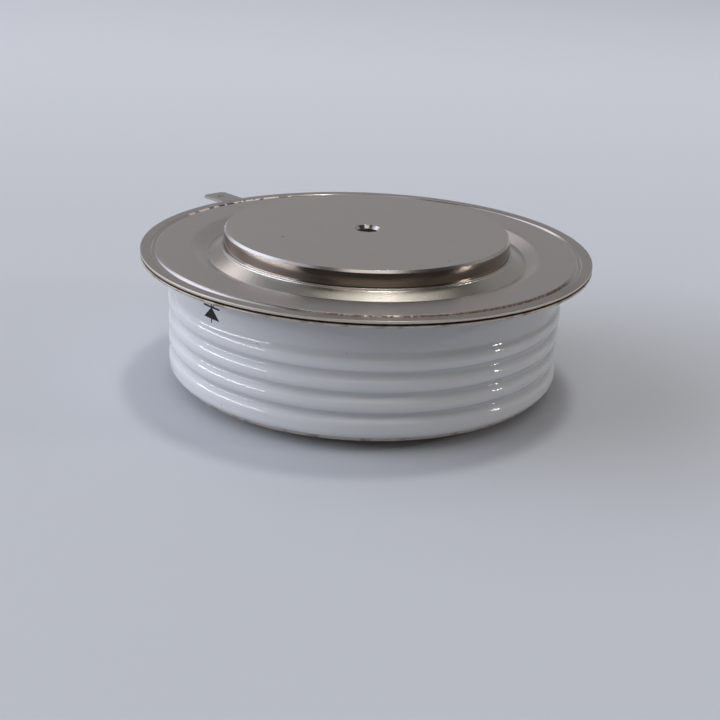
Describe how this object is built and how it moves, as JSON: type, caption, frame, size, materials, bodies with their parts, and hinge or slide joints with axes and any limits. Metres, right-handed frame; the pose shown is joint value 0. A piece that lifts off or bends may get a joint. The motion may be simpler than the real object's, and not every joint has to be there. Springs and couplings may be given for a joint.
{
  "type": "disc thyristor",
  "caption": "Flat round power semiconductor capsule: ribbed white ceramic ring between plated contact blocks, with a thin welded flange, a terminal tab and a gate blade.",
  "frame": {"origin": "centre of the anode contact face, on the underside", "axes": "+Z along the capsule's axis, from the anode face to the cathode face; -Y is the side that faces the camera in the picture"},
  "size_m": [0.075, 0.0795, 0.026],
  "materials": {
    "nickel_plate": "satin nickel plating",
    "white_glaze": "glossy white glaze",
    "molybdenum": "lapped grey metal",
    "silicon": "polished dark grey",
    "silicone_rubber": "soft matt",
    "fluoroplastic": "waxy white",
    "spring_steel": "bright drawn wire",
    "copper_wire": "bare copper"
  },
  "bodies": {
    "root": {"cathode_pole": "nickel_plate", "cathode_flange": "nickel_plate", "weld_ring": "nickel_plate", "ceramic_ring": "white_glaze", "anode_flange": "nickel_plate", "anode_pole": "nickel_plate", "anode_moly_disc": "molybdenum", "silicon_wafer": "silicon", "edge_seal": "silicone_rubber", "cathode_moly_disc": "molybdenum", "centring_ring": "fluoroplastic", "gate_insulator": "fluoroplastic", "gate_spring": "spring_steel", "gate_pin": "nickel_plate", "gate_lead": "copper_wire", "lead_sleeve": "fluoroplastic", "gate_tube": "nickel_plate", "gate_terminal": "nickel_plate"}
  },
  "joints": []
}
